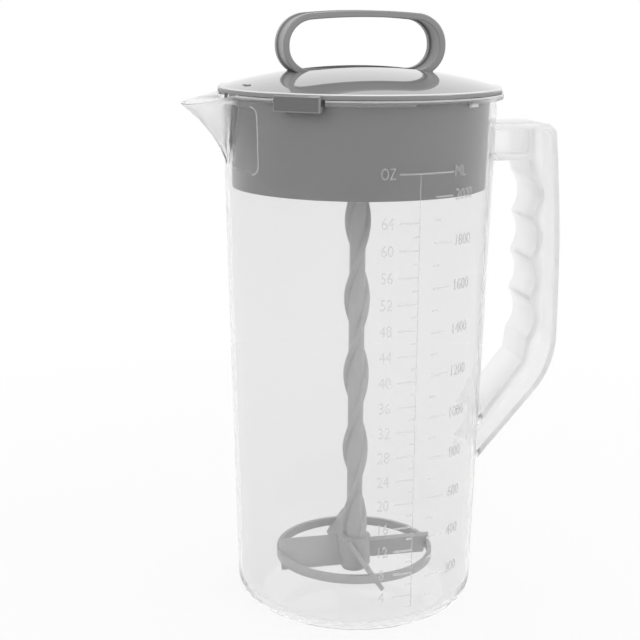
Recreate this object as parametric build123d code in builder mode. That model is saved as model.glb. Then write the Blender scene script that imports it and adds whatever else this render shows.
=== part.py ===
from build123d import *
import os
from math import acos, asin, atan2, cos, degrees, hypot, radians, sin, sqrt

# A clear two litre pitcher whose lid turns to pour and carries a pull-and-push stirrer.
# Millimetres. +Z is up, the origin is the middle of the foot, the spout points to -X and the
# handle to +X. Angles are in degrees, counter-clockwise from +X seen from above.

# Clearances
run_gap = 0.3        # between pieces that move past each other
seat_gap = 0.1       # between a piece and the seat it is pushed on to
fit_gap = 0.05       # radial, a pin or plug in its own hole
overrun = 5.0        # how far a cut passes the surface it leaves

# Jug wall, foot and rim
jug_height = 243.8
foot_radius = 56.4
rim_radius = 62.6
wall = 2.0
floor_thickness = 3.0
foot_round = 12.0
flange_width = 2.6
flange_thickness = 1.5

# Ledges under the rim that the lid's lugs lock beneath, and the tabs that stop them
ledge_depth = 0.9
ledge_sweep = 33.5
tab_depth = 2.2
tab_sweep = 4.0
lid_travel = 60.0
stop_margin = 1.0

# Spout
spout_angle = 180.0
spout_height = 38.0
spout_overhang = 26.5
spout_half_width = 20.9
spout_low_half_width = 7.0
spout_tip_radius = 18.0
spout_low_tip_radius = 6.5
spout_wall = 2.4
spout_drop = 6.7
spout_sink = 0.6
spout_levels = 7
flare_power = 2.05
narrowing_power = 0.6

# Jug handle, an I-beam bent round the finger gap
handle_width = 28.0
handle_flange = 2.6
handle_web = 2.4
handle_drop = 14.8           # from the rim down to its top
handle_arm = 16.7
handle_reach = 28.4          # its back, outside the rim, at the top
handle_lean = 4.8            # how much further out its back is where it bows and at the elbow
handle_bow_drop = 52.0       # these drops are all from the handle's top
handle_elbow_drop = 117.0
handle_foot_drop = 167.5
handle_root = 4.6            # how far its ends start inside the foot's radius
handle_top_round = 6.0
handle_bow_round = 700.0
handle_elbow_round = 40.0
finger_room = 18.0           # from the rim out to the line of the grip's ridges
grip_drop = 25.1
grip_groove_length = 19.2
grip_groove_depth = 3.5
grip_grooves = 4
grip_ridge_round = 3.6
grip_shoulder = 2.4          # how far inside that line the grip starts under the arm
throat_drop = 113.0
throat_step = 1.6
throat_foot_drop = 147.0

# Lid cover
lid_inset = 0.7
lid_edge_height = 1.9
lid_edge_width = 3.4
lid_edge_round = 0.7
dome_rise = 9.1
lid_wall = 1.8
lug_angle = 232.0
lug_sweep = 18.3
lug_thickness = 2.3
lug_drop = 5.4
lug_lip = 0.4
lug_edge_bevel = 0.6
notch_margin = 1.5

# Pour sleeve with its window, and the guide tube down its middle
sleeve_clearance = 1.2
sleeve_wall = 1.8
sleeve_depth = 42.4
window_angle = 187.6
window_half_angle = 19.7
window_base = 9.0
window_head = 5.4
window_round = 3.5
window_edge_bevel = 0.5
tube_wall = 1.5
tube_overhang = 5.4

# Pull ring
ring_straight = 47.1
ring_round = 13.95
ring_tightening = 0.9        # how much smaller the round of its lower corners is
ring_crown = 1.1             # rise of its top bar between the rounded ends
ring_band = 2.95
ring_width = 19.6
ring_rim = 4.0
ring_channel = 0.75
ring_edge_round = 0.6
recess_floor_drop = 0.3
recess_side_gap = 0.7
recess_corner = 3.0
recess_floor = 1.8
ring_sink = 4.4

# Twisted rod
rod_core = 3.75
rod_fin = 6.15
rod_fin_thickness = 2.6
rod_pitch = 74.5
rod_phase = -15.0
rod_phase_drop = 59.5
rod_base = 28.0
rod_collar_height = 1.8
rod_collar_step = 0.25
rod_pin = 3.2
rivet_head_radius = 5.2
rivet_head_thickness = 1.0
rivet_sink = 0.2
rivet_pin = 1.6
rivet_length = 6.0
boss_wall = 1.7

# Drive bush and its retainer in the guide tube
bush_length = 9.5
bush_wall = 1.9
slot_gap = 0.3
retainer_plug = 2.3
retainer_lip = 1.6
retainer_lip_width = 1.2

# Agitator on the rod's foot
hub_radius = 8.0
hub_length = 14.0
blade_count = 4
blade_tip_radius = 38.0
blade_thickness = 2.0
blade_width = 15.0
blade_tilt = 35.0
blade_ring_wall = 2.0
blade_ring_height = 4.0
clip_radius = 6.0
clip_height = 2.7
clip_floor = 1.4


def radius_at(height):
    """Outer radius of the jug's tapered wall at a height."""
    return foot_radius + (rim_radius - foot_radius) * height / jug_height


def upright(angle, height=0):
    """The upright plane through the axis at an angle: its x runs outwards, its y upwards."""
    outwards = (cos(radians(angle)), sin(radians(angle)), 0)
    normal = (sin(radians(angle)), -cos(radians(angle)), 0)
    return Plane(origin=(0, 0, height), x_dir=outwards, z_dir=normal)


def ring_sector(points, start, sweep_angle):
    """A closed outline of (radius, height) points turned about the axis from one angle."""
    with BuildPart() as sector:
        with BuildSketch(upright(start)):
            with BuildLine():
                Polyline(*points, close=True)
            make_face()
        revolve(axis=Axis.Z, revolution_arc=sweep_angle)
    return sector.part


def box_outline(inner, outer, low, high):
    """The four corners of a rectangle between two radii and two heights."""
    return [(inner, low), (outer, low), (outer, high), (inner, high)]


# Places worked out from the sizes above
flange_radius = rim_radius + flange_width
flange_under = jug_height - flange_thickness
ledge_under = flange_under - ledge_depth
tab_under = flange_under - tab_depth
lid_radius = flange_radius - lid_inset
lid_bottom = jug_height + run_gap
lid_edge_top = lid_bottom + lid_edge_height
lid_top = lid_edge_top + dome_rise
dome_radius = (lid_radius**2 + dome_rise**2) / (2 * dome_rise)
dome_centre = lid_top - dome_radius
ring_bottom = lid_top - ring_sink
lug_angles = [lug_angle, lug_angle - 180]


def dome_under(radius):
    """Height of the underside of the lid's dome at a distance from the axis."""
    return dome_centre + sqrt((dome_radius - lid_wall) ** 2 - radius**2)


# Jug handle
handle_top = jug_height - handle_drop
handle_end = foot_radius - handle_root
back_top = rim_radius + handle_reach
grip_reach = rim_radius + finger_room
grip_top = handle_top - grip_drop
throat_reach = grip_reach - throat_step
throat_height = handle_top - throat_drop
with BuildPart() as handle:
    with BuildSketch(Plane.XZ) as outline:
        with BuildLine():
            back = FilletPolyline(
                (handle_end, handle_top),
                (back_top, handle_top),
                (back_top + handle_lean, handle_top - handle_bow_drop),
                (back_top + handle_lean, handle_top - handle_elbow_drop),
                (handle_end, handle_top - handle_foot_drop),
                radius=[handle_top_round, handle_bow_round, handle_elbow_round],
            )
            throat_foot = (handle_end, handle_top - throat_foot_drop)
            groove_low = grip_top - grip_grooves * grip_groove_length
            Polyline(back @ 1, throat_foot, (throat_reach, throat_height), (grip_reach, groove_low))
            for groove in range(grip_grooves):
                low = groove_low + groove * grip_groove_length
                ThreePointArc(
                    (grip_reach, low),
                    (grip_reach + grip_groove_depth, low + grip_groove_length / 2),
                    (grip_reach, low + grip_groove_length),
                )
            arm_under = handle_top - handle_arm
            arm_corner = (grip_reach - grip_shoulder, arm_under)
            Polyline((grip_reach, grip_top), arm_corner, (handle_end, arm_under), back @ 0)
        make_face()
        ridges = outline.vertices().filter_by_position(Axis.Y, groove_low, grip_top)
        ridges = ridges.filter_by_position(Axis.X, rim_radius, grip_reach + run_gap)
        fillet(ridges, radius=grip_ridge_round)
    extrude(amount=handle_width / 2, both=True)
    for side in (1, -1):
        with BuildSketch(Plane.XZ.offset(side * handle_web / 2)):
            offset(outline.sketch_local, amount=-handle_flange, kind=Kind.INTERSECTION)
            rib_middle = grip_reach - grip_shoulder + handle_flange / 2
            with Locations((rib_middle, handle_top - handle_arm / 2)):
                Rectangle(handle_flange, handle_arm, mode=Mode.SUBTRACT)
        extrude(amount=side * handle_width / 2, mode=Mode.SUBTRACT)


# Jug
def spout_outline(share, inset):
    """Height of a level section of the spout, its side and touch points, and its reach."""
    height = jug_height - share * spout_height
    body = radius_at(height)
    open_share = 1 - share
    reach = body + spout_overhang * open_share**flare_power - spout_sink
    widening = (spout_half_width - spout_low_half_width) * open_share**narrowing_power
    half = spout_low_half_width + widening
    root = sqrt(body**2 - half**2) - wall / 2
    tip_radius = spout_low_tip_radius + (spout_tip_radius - spout_low_tip_radius) * open_share
    centre = reach - tip_radius
    span = hypot(root - centre, half)
    turn = atan2(half, root - centre) - acos(tip_radius / span)
    tip = tip_radius - inset
    side = (root - inset * cos(turn), half - inset * sin(turn))
    touch = (centre + tip * cos(turn), tip * sin(turn))
    return height, side, touch, centre + tip


def spout_solid(inset):
    """The spout's loft through level sections; an inset gives its inside."""
    with BuildPart() as solid:
        for level in range(-1, spout_levels):
            share = level / (spout_levels - 1)
            height, side, touch, reach = spout_outline(share, inset)
            inner = foot_radius / 2
            with BuildSketch(Plane.XY.offset(height)):
                with BuildLine():
                    Polyline((-touch[0], touch[1]), (-side[0], side[1]), (-inner, side[1]),
                             (-inner, -side[1]), (-side[0], -side[1]), (-touch[0], -touch[1]))
                    ThreePointArc((-touch[0], touch[1]), (-reach, 0), (-touch[0], -touch[1]))
                make_face()
        loft()
    return solid.part


outer_spout = spout_solid(0)
inner_spout = spout_solid(spout_wall)
spout_gap = degrees(asin((spout_half_width - spout_wall / 2) / rim_radius))
notch_half = lug_sweep / 2 + notch_margin
gap_list = sorted([(spout_angle, spout_gap)] + [(angle, notch_half) for angle in lug_angles])
flange_arcs = []
for place, (middle, half) in enumerate(gap_list):
    following, next_half = gap_list[(place + 1) % len(gap_list)]
    start = middle + half
    flange_arcs.append((start, (following - next_half - start) % 360))

with BuildPart() as jug:
    with BuildSketch(Plane.XZ) as jug_outline:
        with BuildLine():
            Polyline((0, 0), (foot_radius, 0), (rim_radius, jug_height), (0, jug_height), close=True)
        make_face()
        fillet(jug_outline.vertices().group_by(Axis.Y)[0].sort_by(Axis.X)[-1], radius=foot_round)
    revolve(axis=Axis.Z)
    add(handle.part)
    add(outer_spout)
    root = rim_radius - wall / 2
    for start, arc in flange_arcs:
        add(ring_sector(box_outline(root, flange_radius, flange_under, jug_height), start, arc))
    arc_from = dict(flange_arcs)
    for angle in lug_angles:
        ledge = angle + notch_half
        tab = angle + lug_sweep / 2 + lid_travel + stop_margin
        beyond = ledge + arc_from[ledge] - tab
        ledge_box = box_outline(root, flange_radius, ledge_under, jug_height)
        add(ring_sector(ledge_box, ledge, ledge_sweep))
        add(ring_sector(ledge_box, tab, beyond))
        add(ring_sector(box_outline(root, flange_radius, tab_under, jug_height), tab, tab_sweep))
    with BuildSketch(Plane.XZ) as cavity:
        inner_foot = radius_at(floor_thickness) - wall
        inner_mouth = radius_at(jug_height + overrun) - wall
        with BuildLine():
            Polyline(
                (0, floor_thickness),
                (inner_foot, floor_thickness),
                (inner_mouth, jug_height + overrun),
                (0, jug_height + overrun),
                close=True,
            )
        make_face()
        fillet(cavity.vertices().group_by(Axis.Y)[0].sort_by(Axis.X)[-1], radius=foot_round - wall)
    revolve(axis=Axis.Z, mode=Mode.SUBTRACT)
    add(inner_spout, mode=Mode.SUBTRACT)
    with BuildSketch(Plane.XZ):
        lip_root = rim_radius - wall - spout_wall / 2
        slope = spout_drop / (rim_radius + spout_overhang - lip_root)
        far = lip_root + spout_overhang + wall + overrun
        with BuildLine():
            Polyline(
                (-lip_root, jug_height),
                (-far, jug_height - slope * (far - lip_root)),
                (-far, jug_height + 2 * overrun),
                (-lip_root, jug_height + 2 * overrun),
                close=True,
            )
        make_face()
    extrude(amount=spout_half_width + wall, both=True, mode=Mode.SUBTRACT)
    with BuildSketch(Plane.XY.offset(jug_height)):
        Circle(flange_radius + 2 * spout_overhang)
    extrude(amount=spout_height, mode=Mode.SUBTRACT)


# Lid cover: the dome, the recess that the pull ring lies in, and the two lugs
recess_floor_top = ring_bottom - recess_floor_drop
recess_under = recess_floor_top - recess_floor
ring_middle = ring_bottom + ring_round
ring_low_half = ring_straight / 2 + ring_tightening
ring_low_round = ring_round - ring_tightening
rise_at_rim = ring_bottom + ring_low_round - dome_under(ring_low_half + ring_low_round / 2) - lid_wall
ring_reach = ring_low_half + sqrt(ring_low_round**2 - rise_at_rim**2)
recess_length = 2 * (ring_reach + recess_side_gap)
recess_width = ring_width + 2 * recess_side_gap
rod_collar_radius = rod_fin + rod_collar_step
rod_hole = rod_collar_radius + run_gap

with BuildPart() as cover_inside:
    edge_inner = lid_radius - lid_edge_width
    with BuildSketch(Plane.XZ):
        with BuildLine():
            half_way = edge_inner / 2
            inside_top = (0, lid_top - lid_wall)
            inside_edge = (edge_inner, dome_under(edge_inner))
            ThreePointArc(inside_top, (half_way, dome_under(half_way)), inside_edge)
            Polyline(inside_edge, (edge_inner, lid_bottom - overrun), (0, lid_bottom - overrun), inside_top)
        make_face()
    revolve(axis=Axis.Z)
    with BuildSketch(Plane.XY.offset(recess_under)):
        tray_length = recess_length + 2 * recess_floor
        tray_width = recess_width + 2 * recess_floor
        RectangleRounded(tray_length, tray_width, recess_corner + recess_floor)
    extrude(amount=lid_top, mode=Mode.SUBTRACT)

with BuildPart() as lid_cover:
    with BuildSketch(Plane.XZ) as cover_outline:
        with BuildLine():
            half_way = lid_radius / 2
            half_height = dome_centre + sqrt(dome_radius**2 - half_way**2)
            ThreePointArc((0, lid_top), (half_way, half_height), (lid_radius, lid_edge_top))
            Polyline((lid_radius, lid_edge_top), (lid_radius, lid_bottom), (0, lid_bottom), (0, lid_top))
        make_face()
        fillet(cover_outline.vertices().sort_by(Axis.X)[-2:].sort_by(Axis.Y)[-1], radius=lid_edge_round)
    revolve(axis=Axis.Z)
    add(cover_inside.part, mode=Mode.SUBTRACT)
    with BuildSketch(Plane.XY.offset(recess_floor_top)):
        RectangleRounded(recess_length, recess_width, recess_corner)
    extrude(amount=lid_top, mode=Mode.SUBTRACT)
    with BuildSketch(Plane.XY.offset(recess_under)):
        Circle(rod_hole)
    extrude(amount=lid_top, mode=Mode.SUBTRACT)
    lug_inner = flange_radius + run_gap
    lug_outer = lug_inner + lug_thickness
    lug_top = lid_edge_top - lug_lip
    lug_base = lid_bottom - lug_drop
    hook_top = ledge_under - run_gap
    hook_inner = radius_at(flange_under) + 1.5 * run_gap
    lug_root = lid_radius - lid_edge_width / 2
    hook = [
        (lug_root, lug_top), (lug_outer, lug_top), (lug_outer, lug_base), (hook_inner, lug_base),
        (hook_inner, hook_top), (lug_inner, hook_top), (lug_inner, lid_bottom), (lug_root, lid_bottom),
    ]
    for angle in lug_angles:
        add(ring_sector(hook, angle - lug_sweep / 2, lug_sweep))
    face_limit = lug_outer - fit_gap
    lug_edges = [edge for edge in lid_cover.edges()
                 if min(hypot(vertex.X, vertex.Y) for vertex in edge.vertices()) > face_limit]
    chamfer(lug_edges, length=lug_edge_bevel)
lid_cover.part.label = "lid_cover"


# Pour sleeve: the plug under the cover, its skirt with the pour window, and the guide tube
sleeve_top_radius = rim_radius - wall - sleeve_clearance
sleeve_base = jug_height - sleeve_depth
sleeve_foot_radius = radius_at(sleeve_base) - wall - sleeve_clearance
deck_top = dome_under(sleeve_top_radius) - seat_gap
deck_under = deck_top - sleeve_wall
tube_base = sleeve_base - tube_overhang
tube_bore = rod_fin + 3 * run_gap
bush_radius = tube_bore + bush_wall
bush_seat = bush_radius + fit_gap
tube_radius = bush_seat + tube_wall
bush_base = tube_base + retainer_plug + seat_gap
bush_top = bush_base + bush_length

with BuildPart() as pour_sleeve:
    with BuildSketch(Plane.XZ):
        with BuildLine():
            Polyline(
                (0, deck_top), (sleeve_top_radius, deck_top), (sleeve_foot_radius, sleeve_base),
                (sleeve_foot_radius - sleeve_wall, sleeve_base),
                (sleeve_top_radius - sleeve_wall, deck_under), (0, deck_under), close=True,
            )
        make_face()
    revolve(axis=Axis.Z)
    with BuildSketch(Plane.XY.offset(tube_base)):
        Circle(tube_radius)
    extrude(amount=recess_under - seat_gap - tube_base)
    with BuildSketch(Plane.XY.offset(tube_base)):
        Circle(tube_bore)
    extrude(amount=jug_height, mode=Mode.SUBTRACT)
    with BuildSketch(Plane.XY.offset(tube_base)):
        Circle(bush_seat)
    extrude(amount=bush_top + seat_gap - tube_base, mode=Mode.SUBTRACT)
    window_width = 2 * sleeve_foot_radius * sin(radians(window_half_angle))
    window_height = sleeve_depth - window_base - window_head
    window_middle = sleeve_base + window_base + window_height / 2
    edge_limit = sleeve_foot_radius - sleeve_wall / 2
    window_out = (cos(radians(window_angle)), sin(radians(window_angle)), 0)
    window_along = (-sin(radians(window_angle)), cos(radians(window_angle)), 0)
    window_plane = Plane(origin=(0, 0, window_middle), x_dir=window_along, z_dir=window_out)
    with BuildSketch(window_plane.offset(tube_radius + overrun)):
        RectangleRounded(window_width, window_height, window_round)
    extrude(amount=jug_height, mode=Mode.SUBTRACT)
    window_edges = pour_sleeve.edges(Select.LAST)
    outer_edges = [edge for edge in window_edges if hypot(edge.center().X, edge.center().Y) > edge_limit]
    chamfer(outer_edges, length=window_edge_bevel)
pour_sleeve.part.label = "pour_sleeve"


# Pull ring: a crowned stadium band with a rim along each edge and a thin web between them
crown_drop = ((ring_straight / 2) ** 2 - ring_crown**2) / (2 * ring_crown)


def ring_loop(inset):
    """The ring's outline in a plane through the axis, moved inwards by an inset."""
    half = ring_straight / 2
    round_radius = ring_round - inset
    lean = hypot(half, crown_drop)
    turn_across = half + round_radius * half / lean
    turn_height = ring_middle + round_radius * crown_drop / lean
    crown_top = ring_middle + ring_round + ring_crown - inset
    low = ring_bottom + inset
    with BuildSketch() as loop:
        with BuildLine():
            Line((-ring_low_half, low), (ring_low_half, low))
            for side in (1, -1):
                corner = JernArc((side * ring_low_half, low), (side, 0), ring_low_round - inset, side * 90)
                end = Line(corner @ 1, (side * (half + round_radius), ring_middle))
                TangentArc(end @ 1, (side * turn_across, turn_height), tangent=end % 1)
            ThreePointArc((turn_across, turn_height), (0, crown_top), (-turn_across, turn_height))
        make_face()
    return loop.sketch


ring_outside = ring_loop(0)
ring_inside = ring_loop(ring_band)
cut_outside = ring_loop(-overrun)
cut_outer_step = ring_loop(ring_channel)
cut_inner_step = ring_loop(ring_band - ring_channel)
cut_inside = ring_loop(ring_band + overrun)
bar_top = ring_bottom + ring_band
head_room = rivet_head_radius + run_gap
boss_radius = head_room + boss_wall
head_top = bar_top - rivet_sink
head_base = head_top - rivet_head_thickness
with BuildPart() as pull_ring:
    with BuildSketch(Plane.XZ.offset(-ring_width / 2)):
        add(ring_outside)
        add(ring_inside, mode=Mode.SUBTRACT)
    extrude(amount=ring_width)
    for face_side in (0, -1):
        fillet(pull_ring.edges().group_by(Axis.Y)[face_side], radius=ring_edge_round)
    with BuildSketch(Plane.XZ.offset(ring_rim - ring_width / 2)):
        add(cut_outside)
        add(cut_outer_step, mode=Mode.SUBTRACT)
        add(cut_inner_step)
        add(cut_inside, mode=Mode.SUBTRACT)
    extrude(amount=ring_width - 2 * ring_rim, mode=Mode.SUBTRACT)
    with BuildSketch(Plane.XY.offset(ring_bottom)):
        Circle(boss_radius)
    extrude(amount=ring_band)
    with BuildSketch(Plane.XY.offset(ring_bottom)):
        Circle(rod_pin + fit_gap)
    extrude(amount=ring_band, mode=Mode.SUBTRACT)
    with BuildSketch(Plane.XY.offset(head_base - run_gap)):
        Circle(head_room)
    extrude(amount=ring_band, mode=Mode.SUBTRACT)
pull_ring.part.label = "pull_ring"


# Twisted rod and what turns with it
def twisted_bar(low, high, growth):
    """The rod's finned bar between two heights, grown all round by a clearance."""
    turn = rod_phase + 360 * (low + rod_phase_drop - jug_height) / rod_pitch
    with BuildPart() as bar:
        with BuildLine() as spine:
            Line((0, 0, low), (0, 0, high))
        with BuildLine() as guide:
            Helix(pitch=rod_pitch, height=high - low, radius=rod_fin, center=(0, 0, low))
        facing = (cos(radians(turn)), sin(radians(turn)), 0)
        with BuildSketch(Plane(origin=(0, 0, low), x_dir=facing, z_dir=(0, 0, 1))) as section:
            Circle(rod_core + growth)
            SlotOverall(2 * (rod_fin + growth), rod_fin_thickness + 2 * growth)
        sweep(sections=section.sketch, path=spine.wires()[0], binormal=guide.wires()[0])
    return bar.part


collar_top = ring_bottom - run_gap
collar_base = collar_top - rod_collar_height
pin_top = head_base - seat_gap
rivet_foot = pin_top - rivet_length
hub_top = rod_base - seat_gap
hub_base = hub_top - hub_length
clip_top = hub_base - seat_gap
clip_base = clip_top - clip_height
pin_base = clip_base + clip_floor

bar = twisted_bar(rod_base, collar_base, 0)
with BuildPart() as twist_rod:
    add(bar)
    with BuildSketch(Plane.XY.offset(collar_base)):
        Circle(rod_collar_radius)
    extrude(amount=rod_collar_height)
    with BuildSketch(Plane.XY.offset(collar_top)):
        Circle(rod_pin)
    extrude(amount=pin_top - collar_top)
    with BuildSketch(Plane.XY.offset(pin_base)):
        Circle(rod_pin)
    extrude(amount=rod_base - pin_base)
    with BuildSketch(Plane.XY.offset(rivet_foot - seat_gap)):
        Circle(rivet_pin + fit_gap)
    extrude(amount=rivet_length + overrun, mode=Mode.SUBTRACT)
twist_rod.part.label = "twist_rod"

with BuildPart() as swivel_rivet:
    with BuildSketch(Plane.XY.offset(head_base)):
        Circle(rivet_head_radius)
    extrude(amount=rivet_head_thickness)
    with BuildSketch(Plane.XY.offset(rivet_foot)):
        Circle(rivet_pin)
    extrude(amount=head_base - rivet_foot)
swivel_rivet.part.label = "swivel_rivet"

slot = twisted_bar(bush_base - overrun, bush_top + overrun, slot_gap)
with BuildPart() as drive_bush:
    with BuildSketch(Plane.XY.offset(bush_base)):
        Circle(bush_radius)
    extrude(amount=bush_length)
    add(slot, mode=Mode.SUBTRACT)
drive_bush.part.label = "drive_bush"

with BuildPart() as bush_retainer:
    with BuildSketch(Plane.XY.offset(tube_base - seat_gap - retainer_lip)):
        Circle(tube_radius + retainer_lip_width)
    extrude(amount=retainer_lip)
    with BuildSketch(Plane.XY.offset(tube_base - seat_gap)):
        Circle(bush_radius)
    extrude(amount=retainer_plug)
    with BuildSketch(Plane.XY.offset(tube_base - seat_gap - retainer_lip)):
        Circle(tube_bore)
    extrude(amount=jug_height, mode=Mode.SUBTRACT)
bush_retainer.part.label = "bush_retainer"

blade_middle = hub_base + hub_length / 2
with BuildPart() as agitator:
    with BuildSketch(Plane.XY.offset(hub_base)):
        Circle(hub_radius)
    extrude(amount=hub_length)
    with BuildSketch(Plane.XY.offset(blade_middle - blade_ring_height / 2)):
        Circle(blade_tip_radius)
        Circle(blade_tip_radius - blade_ring_wall, mode=Mode.SUBTRACT)
    extrude(amount=blade_ring_height)
    for blade in range(blade_count):
        angle = radians(360 * blade / blade_count)
        outwards = (cos(angle), sin(angle), 0)
        along = (-sin(angle), cos(angle), 0)
        blade_plane = Plane(origin=(0, 0, blade_middle), x_dir=along, z_dir=outwards)
        with BuildSketch(blade_plane.offset(hub_radius / 2)):
            Rectangle(blade_thickness, blade_width, rotation=blade_tilt)
        extrude(amount=blade_tip_radius - blade_ring_wall / 2 - hub_radius / 2)
    with BuildSketch(Plane.XY.offset(hub_base)):
        Circle(rod_pin + fit_gap)
    extrude(amount=hub_length, mode=Mode.SUBTRACT)
agitator.part.label = "agitator"

with BuildPart() as agitator_clip:
    with BuildSketch(Plane.XY.offset(clip_base)):
        Circle(clip_radius)
    extrude(amount=clip_height)
    fillet(agitator_clip.edges().sort_by(Axis.Z)[0], radius=clip_floor / 2)
    with BuildSketch(Plane.XY.offset(pin_base - seat_gap)):
        Circle(rod_pin + fit_gap)
    extrude(amount=clip_height, mode=Mode.SUBTRACT)
agitator_clip.part.label = "agitator_clip"

jug.part.label = "jug"
os.makedirs("parts", exist_ok=True)
export_step(jug.part, "parts/jug.step")
export_step(lid_cover.part, "parts/lid_cover.step")
export_step(pour_sleeve.part, "parts/pour_sleeve.step")
export_step(drive_bush.part, "parts/drive_bush.step")
export_step(bush_retainer.part, "parts/bush_retainer.step")
export_step(pull_ring.part, "parts/pull_ring.step")
export_step(twist_rod.part, "parts/twist_rod.step")
export_step(swivel_rivet.part, "parts/swivel_rivet.step")
export_step(agitator.part, "parts/agitator.step")
export_step(agitator_clip.part, "parts/agitator_clip.step")
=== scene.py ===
import math

import bpy
from mathutils import Matrix, Vector


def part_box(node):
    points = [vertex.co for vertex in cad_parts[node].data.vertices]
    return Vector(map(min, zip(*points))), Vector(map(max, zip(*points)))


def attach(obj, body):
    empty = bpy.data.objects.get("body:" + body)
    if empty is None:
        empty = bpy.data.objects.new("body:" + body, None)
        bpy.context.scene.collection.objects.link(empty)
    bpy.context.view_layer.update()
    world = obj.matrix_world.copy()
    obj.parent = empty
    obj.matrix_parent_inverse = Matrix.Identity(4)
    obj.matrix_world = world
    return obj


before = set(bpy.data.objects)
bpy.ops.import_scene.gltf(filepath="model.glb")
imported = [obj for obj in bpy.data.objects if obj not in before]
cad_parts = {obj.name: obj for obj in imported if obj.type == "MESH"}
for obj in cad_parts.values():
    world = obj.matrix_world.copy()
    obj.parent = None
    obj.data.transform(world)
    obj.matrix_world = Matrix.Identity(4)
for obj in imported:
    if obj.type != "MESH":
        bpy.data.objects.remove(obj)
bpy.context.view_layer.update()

# Sizes from the part's source, in metres
MM = 0.001
FOOT_RADIUS = 56.4 * MM
RIM_RADIUS = 62.6 * MM
JUG_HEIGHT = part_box("jug")[1].z
WALL_TAPER = (RIM_RADIUS - FOOT_RADIUS) / JUG_HEIGHT
LID_RADIUS = 64.5 * MM
DOME_RISE = 9.1 * MM
DOME_RADIUS = (LID_RADIUS**2 + DOME_RISE**2) / (2 * DOME_RISE)
LID_TOP = JUG_HEIGHT + 11.3 * MM
LUG_RADIUS = 67.8 * MM
SLEEVE_INSIDE = 57.7 * MM
SLEEVE_TOP = JUG_HEIGHT + 1.6 * MM
SLEEVE_TOP_RADIUS = 59.4 * MM
WINDOW_ANGLE = math.radians(187.6)
WINDOW_HALF = 19.66 * MM
WINDOW_HALF_HEIGHT = 14.0 * MM
WINDOW_MIDDLE = JUG_HEIGHT - 19.4 * MM
WINDOW_ROUND = 3.5 * MM

# Clear plastic: where it turns milky beyond the wall, and its paler bands, measured down from the rim; the
# band along the rim's top edge is a painted highlight
CLEAR_IOR = 1.25
MILKY_REACH = (0.6 * MM, 2.6 * MM)
RIM_BAND = 4.0 * MM
RIM_FOOT = RIM_BAND - 0.1 * MM
TAB_TOP = 2.5 * MM
RIM_HIGHLIGHT_LINE = 0.75 * MM
SHADOW_TINT = 0.93
CLEAR_FLOW = {"scale": 18, "detail": 3.0, "stretch": (1, 1, 0.35)}
CLEAR_FLOW_ROUGH = (0.0, 0.03)
CLEAR_WAVES = {"scale": 26, "detail": 1.0, "stretch": (1, 1, 0.4)}
WAVE_STRENGTH = 0.06
WAVE_DEPTH = 0.5 * MM

# Grey plastic, and the heights and radii where the lid and the sleeve change their tone: painted light on the
# lid below its edge and on the sleeve's inside face, painted shade on the lugs' outer faces
GREY_IOR = 1.49
COAT_ROUGHNESS = 0.03
GREY_FLOW = {"scale": 35, "detail": 3.0}
GREY_GRAIN = {"scale": 2600, "detail": 1.0}
GRAIN_DEPTH = 0.05 * MM
PAINTED_LIGHT_UNDER_EDGE = (JUG_HEIGHT + 0.6 * MM, JUG_HEIGHT - 0.4 * MM)
EDGE_FACE = (JUG_HEIGHT + 1.6 * MM, JUG_HEIGHT + 1.3 * MM)
EDGE_ROUGHNESS = 0.5
PAINTED_SHADE_ON_LUG_FACE = (LUG_RADIUS - 0.2 * MM, LUG_RADIUS - 0.05 * MM)
SLEEVE_PAINTED_LIGHT = (SLEEVE_INSIDE + 0.3 * MM, SLEEVE_INSIDE)

# The photograph's camera
CAMERA_PLACE = Vector((-161.1, -601.4, 284.1)) * MM
CAMERA_FORWARD = Vector((0.2254, 0.9465, -0.2310)).normalized()
CAMERA_ROLL = math.radians(0.334)
CAMERA_LENS = 75.87
CAMERA_SENSOR = 36.0
CAMERA_REACH = 50
CAMERA_ANGLE = 255.0
CLEAR_BOUNCES = 32
GLOSSY_BOUNCES = 12

WHOLE = (0.0, 1.0)


# Shader helpers: a value is an output of a node, a number or a colour
def new_material(name):
    """A node material with its tree and main shader."""
    material = bpy.data.materials.new(name)
    material.use_nodes = True
    tree = material.node_tree
    return material, tree, tree.nodes["Principled BSDF"]


def grey(level):
    """A grey as a colour."""
    return (level, level, level, 1)


def feed(tree, value, socket):
    """Links an output to a socket, or sets the socket to a number or a colour."""
    if isinstance(value, bpy.types.NodeSocket):
        tree.links.new(value, socket)
    else:
        socket.default_value = value


def calc(tree, operation, *values):
    """What a math node makes of its values."""
    node = tree.nodes.new("ShaderNodeMath")
    node.operation = operation
    for value, socket in zip(values, node.inputs):
        feed(tree, value, socket)
    return node.outputs["Value"]


def spread(tree, value, ends=WHOLE, results=WHOLE):
    """A number taken from one range to another and kept inside it."""
    node = tree.nodes.new("ShaderNodeMapRange")
    node.inputs["From Min"].default_value, node.inputs["From Max"].default_value = ends
    node.inputs["To Min"].default_value, node.inputs["To Max"].default_value = results
    feed(tree, value, node.inputs["Value"])
    return node.outputs["Result"]


def blend(tree, kind, share, first, second):
    """A value between two by a share: the kind is RGBA for colours and FLOAT for numbers."""
    node = tree.nodes.new("ShaderNodeMix")
    node.data_type = kind
    for name, value in (("Factor", share), ("A", first), ("B", second)):
        feed(tree, value, node.inputs[name])
    return node.outputs["Result"]


def show_mixed(tree, share, first, second):
    """Shows two shaders mixed by a share."""
    node = tree.nodes.new("ShaderNodeMixShader")
    tree.links.new(share, node.inputs["Fac"])
    tree.links.new(first, node.inputs[1])
    tree.links.new(second, node.inputs[2])
    tree.links.new(node.outputs["Shader"], tree.nodes["Material Output"].inputs["Surface"])


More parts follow.
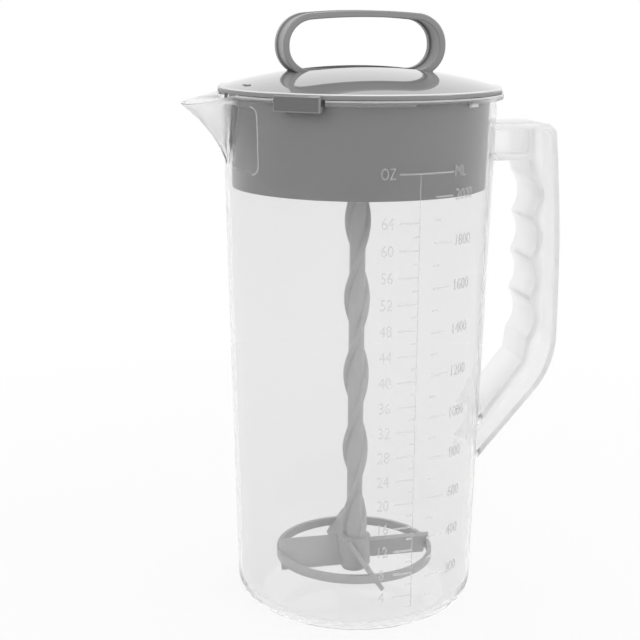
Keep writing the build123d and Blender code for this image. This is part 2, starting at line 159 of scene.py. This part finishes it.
def noise(tree, scale, detail, stretch=(1, 1, 1)):
    """A noise texture in object coordinates."""
    place = tree.nodes.new("ShaderNodeTexCoord")
    mapping = tree.nodes.new("ShaderNodeMapping")
    mapping.inputs["Scale"].default_value = stretch
    texture = tree.nodes.new("ShaderNodeTexNoise")
    texture.inputs["Scale"].default_value = scale
    texture.inputs["Detail"].default_value = detail
    tree.links.new(place.outputs["Object"], mapping.inputs["Vector"])
    tree.links.new(mapping.outputs["Vector"], texture.inputs["Vector"])
    return texture.outputs["Fac"]


def relief(tree, shader, texture, strength, depth):
    """A shallow bump from a texture."""
    node = tree.nodes.new("ShaderNodeBump")
    node.inputs["Strength"].default_value = strength
    node.inputs["Distance"].default_value = depth
    tree.links.new(texture, node.inputs["Height"])
    tree.links.new(node.outputs["Normal"], shader.inputs["Normal"])


def place_outputs(tree):
    """A point's height and its distance from the axis."""
    place = tree.nodes.new("ShaderNodeTexCoord")
    apart = tree.nodes.new("ShaderNodeSeparateXYZ")
    flat = tree.nodes.new("ShaderNodeCombineXYZ")
    reach = tree.nodes.new("ShaderNodeVectorMath")
    reach.operation = "LENGTH"
    tree.links.new(place.outputs["Object"], apart.inputs["Vector"])
    tree.links.new(apart.outputs["X"], flat.inputs["X"])
    tree.links.new(apart.outputs["Y"], flat.inputs["Y"])
    tree.links.new(flat.outputs["Vector"], reach.inputs[0])
    return {"height": apart.outputs["Z"], "radius": reach.outputs["Value"]}


def outside_wall(tree, place):
    """0 on the jug's wall and 1 on what stands out from it: handle and spout."""
    wall = calc(tree, "MULTIPLY_ADD", place["height"], WALL_TAPER, FOOT_RADIUS)
    return spread(tree, calc(tree, "SUBTRACT", place["radius"], wall), MILKY_REACH)


def rim_share(tree, place, outside):
    """1 on the rim's top edge, where a painted highlight goes, and on its tabs, 0 on its face between them and
    elsewhere.
    """
    tones = tree.nodes.new("ShaderNodeValToRGB")
    tones.color_ramp.interpolation = "CONSTANT"
    tones.color_ramp.elements[0].color = grey(0.0)
    tones.color_ramp.elements[1].position = 1 - RIM_HIGHLIGHT_LINE / RIM_BAND
    for drop, level in ((RIM_FOOT, 1.0), (TAB_TOP, 0.0)):
        tones.color_ramp.elements.new(1 - drop / RIM_BAND).color = grey(level)
    high = spread(tree, place["height"], (JUG_HEIGHT - RIM_BAND, JUG_HEIGHT))
    tree.links.new(high, tones.inputs["Fac"])
    return calc(tree, "MULTIPLY", tones.outputs["Color"], outside)


# Materials
def clear_plastic(name, clearness, rim_drop, roughness, tones, outside_tone):
    """Clear moulded plastic that lets the lamps' light through.

    Clearness and roughness are pairs: on the wall and on what stands out from it.
    The rim's top edge and tabs are less clear by rim_drop, so that the top edge shows as a painted highlight.
    """
    material, tree, shader = new_material(name)
    shader.inputs["IOR"].default_value = CLEAR_IOR
    place = place_outputs(tree)
    outside = outside_wall(tree, place)
    flow = noise(tree, **CLEAR_FLOW)
    clear_part = spread(tree, outside, results=clearness)
    passed = calc(tree, "MULTIPLY_ADD", rim_share(tree, place, outside), -rim_drop, clear_part)
    rough_part = spread(tree, outside, results=roughness)
    rough = calc(tree, "ADD", rough_part, spread(tree, flow, results=CLEAR_FLOW_ROUGH))
    wall_tone = blend(tree, "RGBA", flow, *tones)
    tree.links.new(passed, shader.inputs["Transmission Weight"])
    tree.links.new(rough, shader.inputs["Roughness"])
    tree.links.new(blend(tree, "RGBA", outside, wall_tone, outside_tone), shader.inputs["Base Color"])
    relief(tree, shader, noise(tree, **CLEAR_WAVES), WAVE_STRENGTH, WAVE_DEPTH)
    path = tree.nodes.new("ShaderNodeLightPath")
    open_way = tree.nodes.new("ShaderNodeBsdfTransparent")
    open_way.inputs["Color"].default_value = grey(SHADOW_TINT)
    show_mixed(tree, path.outputs["Is Shadow Ray"], shader.outputs["BSDF"], open_way.outputs["BSDF"])
    return material


def grey_plastic(name, tones, roughness, grain=0.0, coat=0.0):
    """Opaque moulded plastic with faint flow tones, and a fine grain where one is given."""
    material, tree, shader = new_material(name)
    shader.inputs["IOR"].default_value = GREY_IOR
    shader.inputs["Coat Weight"].default_value = coat
    shader.inputs["Coat Roughness"].default_value = COAT_ROUGHNESS
    flow = noise(tree, **GREY_FLOW)
    tree.links.new(blend(tree, "RGBA", flow, *tones), shader.inputs["Base Color"])
    tree.links.new(spread(tree, flow, results=roughness), shader.inputs["Roughness"])
    if grain:
        relief(tree, shader, noise(tree, **GREY_GRAIN), grain, GRAIN_DEPTH)
    return material


def tone_by_place(material, way, ends, tone):
    """Paints light or shade into a material's colour as a second tone between two heights or radii."""
    tree = material.node_tree
    colour = tree.nodes["Principled BSDF"].inputs["Base Color"]
    share = spread(tree, place_outputs(tree)[way], ends)
    tree.links.new(blend(tree, "RGBA", share, colour.links[0].from_socket, tone), colour)


def dull_below(material, ends, rough):
    """Takes the gloss and the coat off a material from one height down to another."""
    tree = material.node_tree
    shader = tree.nodes["Principled BSDF"]
    share = spread(tree, place_outputs(tree)["height"], ends)
    roughness = shader.inputs["Roughness"]
    coat = shader.inputs["Coat Weight"]
    tree.links.new(blend(tree, "FLOAT", share, roughness.links[0].from_socket, rough), roughness)
    tree.links.new(spread(tree, share, results=(coat.default_value, 0.0)), coat)


clear = clear_plastic(
    "clear_wall",
    clearness=(0.96, 0.86),
    rim_drop=0.4,
    roughness=(0.02, 0.28),
    tones=(grey(0.9), grey(0.92)),
    outside_tone=grey(0.99),
)
marked = clear_plastic(
    "raised_marks",
    clearness=(0.82, 0.82),
    rim_drop=0.0,
    roughness=(0.2, 0.2),
    tones=(grey(0.9), grey(0.94)),
    outside_tone=grey(0.94),
)
glossy = grey_plastic("gloss_grey", (grey(0.26), grey(0.275)), (0.03, 0.05), coat=0.7)
satin = grey_plastic("satin_grey", (grey(0.3), grey(0.32)), (0.32, 0.42), grain=0.08)
sleeve_grey = grey_plastic("sleeve_grey", (grey(0.16), grey(0.17)), (0.35, 0.45))
rod_grey = grey_plastic("rod_grey", (grey(0.38), grey(0.41)), (0.3, 0.4), grain=0.03)
# Pale grey for the painted highlights on the lid's edge and the pour window's edge
highlight_paint = grey_plastic("painted_edge_highlight", (grey(0.72), grey(0.76)), (0.3, 0.4))
white = grey_plastic("white_bush", ((0.74, 0.74, 0.72, 1), (0.8, 0.8, 0.78, 1)), (0.35, 0.45), grain=0.1)
ink = grey_plastic("mark_ink", (grey(0.07), grey(0.09)), (0.4, 0.5), grain=0.05)
# Painted light: the lid a shade lighter below its edge, over the lugs' lower parts
tone_by_place(glossy, "height", PAINTED_LIGHT_UNDER_EDGE, grey(0.28))
# Painted shade: the lugs' outer faces darker, which leaves their rounded edges lighter
tone_by_place(glossy, "radius", PAINTED_SHADE_ON_LUG_FACE, grey(0.15))
dull_below(glossy, EDGE_FACE, EDGE_ROUGHNESS)
# Painted light: the sleeve's inside face is a lighter grey, so that its shaded inside seen through the pour
# window is as light as its outside
tone_by_place(sleeve_grey, "radius", SLEEVE_PAINTED_LIGHT, grey(0.5))

NODE_MATERIALS = {
    "jug": clear,
    "lid_cover": glossy,
    "pour_sleeve": sleeve_grey,
    "drive_bush": white,
    "bush_retainer": sleeve_grey,
    "pull_ring": satin,
    "twist_rod": rod_grey,
    "swivel_rivet": satin,
    "agitator": rod_grey,
    "agitator_clip": rod_grey,
}
for node, material in NODE_MATERIALS.items():
    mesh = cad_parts[node].data
    mesh.materials.clear()
    mesh.materials.append(material)


def turned(radius, angle, height):
    """A point at a distance from the axis, an angle and a height."""
    return Vector((radius * math.cos(angle), radius * math.sin(angle), height))


def new_object(name, points, faces, material):
    """A mesh with one material as an object in the scene."""
    mesh = bpy.data.meshes.new(name)
    mesh.from_pydata(points, [], faces)
    mesh.materials.append(material)
    made = bpy.data.objects.new(name, mesh)
    bpy.context.scene.collection.objects.link(made)
    return made


# Scale on the wall: raised numbers and lines, placed by the arc from the camera's side.
# A mark's height grows with the ounces below it, and OUNCE is its millilitres.
MARK_STAND = 0.12 * MM
MARK_FOOT = 8.75 * MM
MARK_STEP = 2.752 * MM
MARK_GROWTH = 0.00176 * MM
OUNCE = 29.5735
OZ_LAST = 64
OZ_STEP = 2
ML_LAST = 2000
ML_STEP = 100
DEGREE = math.radians(1) * 61.5 * MM
NUMBER_SIZE = 7.2 * MM
NUMBER_NARROW = 0.8
OZ_NARROW = 0.64
TEXT_STEPS = 3
OZ_NUMBER_ACROSS = 11.8 * DEGREE
OZ_LINE_ACROSS = 25.0 * DEGREE
OZ_LONG = 8.2 * DEGREE
OZ_SHORT = 2.4 * DEGREE
ML_NUMBER_ACROSS = 48.2 * DEGREE
ML_SIGN_ACROSS = ML_NUMBER_ACROSS - 2.8 * DEGREE
ML_LINE_ACROSS = 32.4 * DEGREE
ML_LONG = 9.0 * DEGREE
ML_SHORT = 3.2 * DEGREE
LINE_TALL = 0.8 * MM
LINE_CUTS = 8
SHORT_CUTS = 4
HEAD_LINE = (16.4 * DEGREE, 41.4 * DEGREE)
HEAD_HEIGHT = 213.1 * MM
HEAD_CUTS = 16
POST_WIDE = 0.3 * MM
POST_FOOT = 14.0 * MM
POST_ACROSS = OZ_LINE_ACROSS + 0.4 * DEGREE
POST_CUTS = 24


def height_of(ounces):
    """The height of a mark, as its lines and numbers stand in the photograph."""
    return MARK_FOOT + MARK_STEP * ounces + MARK_GROWTH * ounces**2


def flat_text(words, size, depth):
    """Flat text as a mesh centred on the origin, with a thickness."""
    curve = bpy.data.curves.new(words, "FONT")
    curve.body = words
    curve.size = size
    curve.align_x = "CENTER"
    curve.align_y = "CENTER"
    curve.extrude = depth / 2
    curve.resolution_u = TEXT_STEPS
    holder = bpy.data.objects.new(words, curve)
    bpy.context.scene.collection.objects.link(holder)
    bpy.context.view_layer.update()
    mesh = bpy.data.meshes.new_from_object(holder)
    bpy.data.objects.remove(holder)
    return mesh


class Relief:
    """Collects raised shapes that are wrapped on the wall into one mesh."""

    def __init__(self, stand):
        self.points = []
        self.faces = []
        self.stand = stand
        self.section = ((-1, -stand), (1, -stand), (1, stand), (-1, stand))

    def add(self, flat_points, faces, across, height):
        """Wraps flat points on the wall: along it, up it and out of it."""
        first = len(self.points)
        for x, y, z in flat_points:
            radius = FOOT_RADIUS + WALL_TAPER * (height + y)
            angle = math.radians(CAMERA_ANGLE) + (across + x) / radius
            self.points.append(turned(radius + z, angle, height + y))
        self.faces += [tuple(first + i for i in face) for face in faces]

    def text(self, words, across, height, narrow=NUMBER_NARROW):
        """A raised number or sign."""
        mesh = flat_text(words, NUMBER_SIZE, self.stand * 2)
        points = [(v.co.x * narrow, v.co.y, v.co.z) for v in mesh.vertices]
        self.add(points, [tuple(p.vertices) for p in mesh.polygons], across, height)
        bpy.data.meshes.remove(mesh)

    def bar(self, width, across, height, cuts=LINE_CUTS):
        """A raised line, cut across its length so that it follows the wall."""
        points = []
        faces = []
        for step in range(cuts + 1):
            x = width * (step / cuts - 0.5)
            points += [(x, side * LINE_TALL / 2, z) for side, z in self.section]
        for step in range(cuts):
            a = 4 * step
            faces += [
                (a, a + 4, a + 5, a + 1),
                (a + 1, a + 5, a + 6, a + 2),
                (a + 2, a + 6, a + 7, a + 3),
                (a + 3, a + 7, a + 4, a),
            ]
        last = 4 * cuts
        faces += [(0, 1, 2, 3), (last + 3, last + 2, last + 1, last)]
        self.add(points, faces, across, height)

    def post(self, tall, width, across, foot, cuts=POST_CUTS):
        """A raised upright line that follows the wall's taper."""
        part = tall / cuts
        points = [(side * width / 2, y, z) for y in (0, part) for side, z in self.section]
        faces = [(0, 4, 5, 1), (1, 5, 6, 2), (2, 6, 7, 3), (3, 7, 4, 0), (0, 1, 2, 3), (7, 6, 5, 4)]
        for step in range(cuts):
            self.add(points, faces, across, foot + part * step)

    def column(self, last, step, ounce, number_across, line_across, long_line, short_line):
        """One unit's marks: numbered lines, and short lines between. A minus turns a line's way."""
        for count in range(step, last + step, step):
            height = height_of(count / ounce)
            if count % (2 * step) == 0:
                self.bar(abs(long_line), line_across + long_line / 2, height)
                self.text(str(count), number_across, height)
            else:
                self.bar(abs(short_line), line_across + short_line / 2, height, SHORT_CUTS)

    def piece(self, name, material, body):
        """The collected shapes as one piece that rides on a body."""
        piece = new_object(name, self.points, self.faces, material)
        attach(piece, body)
        return piece


marks = Relief(MARK_STAND)
marks.post(HEAD_HEIGHT - POST_FOOT, POST_WIDE, POST_ACROSS, POST_FOOT)
marks.bar(HEAD_LINE[1] - HEAD_LINE[0], sum(HEAD_LINE) / 2, HEAD_HEIGHT, HEAD_CUTS)
marks.text("OZ", OZ_NUMBER_ACROSS, HEAD_HEIGHT, OZ_NARROW)
marks.text("ML", ML_SIGN_ACROSS, HEAD_HEIGHT)
marks.column(OZ_LAST, OZ_STEP, 1, OZ_NUMBER_ACROSS, OZ_LINE_ACROSS, -OZ_LONG, -OZ_SHORT)
marks.column(ML_LAST, ML_STEP, OUNCE, ML_NUMBER_ACROSS, ML_LINE_ACROSS, ML_LONG, ML_SHORT)
scale_marks = marks.piece("scale_marks", marked, "pitcher")


# Turning arrow on the lid: its outline in millimetres, along the edge and outwards
ARROW_ANGLE = math.radians(197.2)
ARROW_RADIUS = 57.8 * MM
ARROW_SINK = 0.1 * MM
ARROW_STAND = 0.15 * MM
ARROW_OUTLINE = ((-3.6, -0.5), (0.6, -0.5), (0.6, -1.5), (3.6, 0.0), (0.6, 1.5), (0.6, 0.5), (-3.6, 0.5))


def on_dome(across, outwards, rise):
    """A point on the lid: an arc length from the arrow's middle, a step outwards and a rise."""
    radius = ARROW_RADIUS + outwards
    height = LID_TOP - DOME_RADIUS + math.sqrt(DOME_RADIUS**2 - radius**2)
    return turned(radius, ARROW_ANGLE + across / ARROW_RADIUS, height + rise)


arrow_points = [on_dome(x * MM, y * MM, rise) for rise in (-ARROW_SINK, ARROW_STAND) for x, y in ARROW_OUTLINE]
corners = len(ARROW_OUTLINE)
arrow_faces = [(i, (i + 1) % corners, (i + 1) % corners + corners, i + corners) for i in range(corners)]
arrow_faces += [tuple(range(corners, 2 * corners)), tuple(reversed(range(corners)))]
turn_arrow = new_object("turn_arrow", arrow_points, arrow_faces, ink)
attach(turn_arrow, "lid")


# Painted highlights on the edges of the lid and of the pour window, each a thin pale line on the surface
LINE_SINK = 0.1 * MM
LINE_STAND = 0.12 * MM
LID_LINE = ((-0.95 * MM, 0.27 * MM), (-0.1 * MM, -0.17 * MM))
LID_LINE_WAY = (0.5, 0.9)
LID_LINE_STEPS = 180
WINDOW_LINE = (0.55 * MM, 0.9 * MM)
WINDOW_CORNER_STEPS = 6


def edge_line(name, path, material, body):
    """A thin closed strip of painted highlight from (inner point, outer point, way out) triples."""
    points = []
    for inner, outer, way in path:
        points += [inner - way * LINE_SINK, outer - way * LINE_SINK]
        points += [outer + way * LINE_STAND, inner + way * LINE_STAND]
    faces = []
    for step in range(len(path)):
        a = 4 * step
        b = 4 * ((step + 1) % len(path))
        for side in range(4):
            following = (side + 1) % 4
            faces.append((a + side, a + following, b + following, b + side))
    line = new_object(name, points, faces, material)
    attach(line, body)


lid_path = []
for step in range(LID_LINE_STEPS):
    angle = 2 * math.pi * step / LID_LINE_STEPS
    inner, outer = [turned(LID_RADIUS + across, angle, LID_TOP - DOME_RISE + up) for across, up in LID_LINE]
    lid_path.append((inner, outer, turned(LID_LINE_WAY[0], angle, LID_LINE_WAY[1]).normalized()))
edge_line("lid_edge_highlight", lid_path, highlight_paint, "lid")

window_path = []
for side, corner in enumerate(((1, 1), (-1, 1), (-1, -1), (1, -1))):
    for step in range(WINDOW_CORNER_STEPS + 1):
        turn = math.pi / 2 * (side + step / WINDOW_CORNER_STEPS)
        pair = []
        for gap in WINDOW_LINE:
            reach = WINDOW_ROUND + gap
            across = corner[0] * (WINDOW_HALF - WINDOW_ROUND) + reach * math.cos(turn)
            height = WINDOW_MIDDLE + corner[1] * (WINDOW_HALF_HEIGHT - WINDOW_ROUND) + reach * math.sin(turn)
            radius = SLEEVE_TOP_RADIUS - (SLEEVE_TOP - height) * WALL_TAPER
            pair.append(turned(radius, WINDOW_ANGLE + math.asin(across / radius), height))
        out = Vector((pair[0].x, pair[0].y, 0)).normalized()
        window_path.append((pair[0], pair[1], out))
edge_line("window_edge_highlight", window_path, highlight_paint, "lid")

# Stage: floor, world and lamps
FLOOR_HALF = 30.0
FLOOR_GREY = 0.86
FLOOR_ROUGHNESS = 0.9
FLOOR_GLOW = (0.86, 1.0)
GLOW_REACH = (0.12, 0.5)
WORLD_LIGHT = 0.5
LAMP_TARGET = (0, 0, 0.15)
LAMPS = {
    "key": ((-1.1, -0.8, 0.9), 0.8, 4.5),
    "fill": ((1.2, -0.6, 0.8), 0.9, 6.5),
    "top": ((0.0, 0.1, 1.6), 1.0, 8.0),
}


def shown_share(tree):
    """1 where the white shows to the camera and in gloss and clear plastic, 0 as plain light."""
    path = tree.nodes.new("ShaderNodeLightPath")
    shown = calc(tree, "MAXIMUM", path.outputs["Is Camera Ray"], path.outputs["Is Glossy Ray"])
    return calc(tree, "MAXIMUM", shown, path.outputs["Is Transmission Ray"])


floor_material, tree, shader = new_material("floor_white")
shader.inputs["Base Color"].default_value = grey(FLOOR_GREY)
shader.inputs["Roughness"].default_value = FLOOR_ROUGHNESS
shader.inputs["Specular IOR Level"].default_value = 0.0
glow = tree.nodes.new("ShaderNodeEmission")
place = tree.nodes.new("ShaderNodeTexCoord")
away = tree.nodes.new("ShaderNodeVectorMath")
away.operation = "LENGTH"
tree.links.new(place.outputs["Object"], away.inputs[0])
level = spread(tree, away.outputs["Value"], GLOW_REACH, FLOOR_GLOW)
glow_share = calc(tree, "MULTIPLY", level, shown_share(tree))
show_mixed(tree, glow_share, shader.outputs["BSDF"], glow.outputs["Emission"])
floor_corners = [(x * FLOOR_HALF, y * FLOOR_HALF, 0) for x, y in ((-1, -1), (1, -1), (1, 1), (-1, 1))]
floor = new_object("floor", floor_corners, [(0, 1, 2, 3)], floor_material)

world = bpy.data.worlds.new("studio")
bpy.context.scene.world = world
world.use_nodes = True
tree = world.node_tree
background = tree.nodes["Background"]
background.inputs["Color"].default_value = grey(1.0)
strength = calc(tree, "MULTIPLY_ADD", shown_share(tree), 1 - WORLD_LIGHT, WORLD_LIGHT)
tree.links.new(strength, background.inputs["Strength"])

for name, (spot, size, power) in LAMPS.items():
    lamp_data = bpy.data.lights.new(name, "AREA")
    lamp_data.shape = "SQUARE"
    lamp_data.size = size
    lamp_data.energy = power
    lamp = bpy.data.objects.new(name, lamp_data)
    lamp.location = spot
    lamp.rotation_euler = (Vector(LAMP_TARGET) - Vector(spot)).to_track_quat("-Z", "Y").to_euler()
    bpy.context.scene.collection.objects.link(lamp)

# Camera
camera_data = bpy.data.cameras.new("camera")
camera_data.lens = CAMERA_LENS
camera_data.sensor_width = CAMERA_SENSOR
camera_data.clip_end = CAMERA_REACH
camera = bpy.data.objects.new("camera", camera_data)
right = CAMERA_FORWARD.cross(Vector((0, 0, 1))).normalized()
up = right.cross(CAMERA_FORWARD)
rolled_right = right * math.cos(CAMERA_ROLL) + up * math.sin(CAMERA_ROLL)
rolled_up = rolled_right.cross(CAMERA_FORWARD)
turn = Matrix((rolled_right, rolled_up, -CAMERA_FORWARD)).transposed()
camera.matrix_world = Matrix.Translation(CAMERA_PLACE) @ turn.to_4x4()
bpy.context.scene.collection.objects.link(camera)
bpy.context.scene.camera = camera
bpy.context.scene.view_settings.view_transform = "Standard"
bpy.context.scene.cycles.max_bounces = CLEAR_BOUNCES
bpy.context.scene.cycles.transmission_bounces = CLEAR_BOUNCES
bpy.context.scene.cycles.glossy_bounces = GLOSSY_BOUNCES
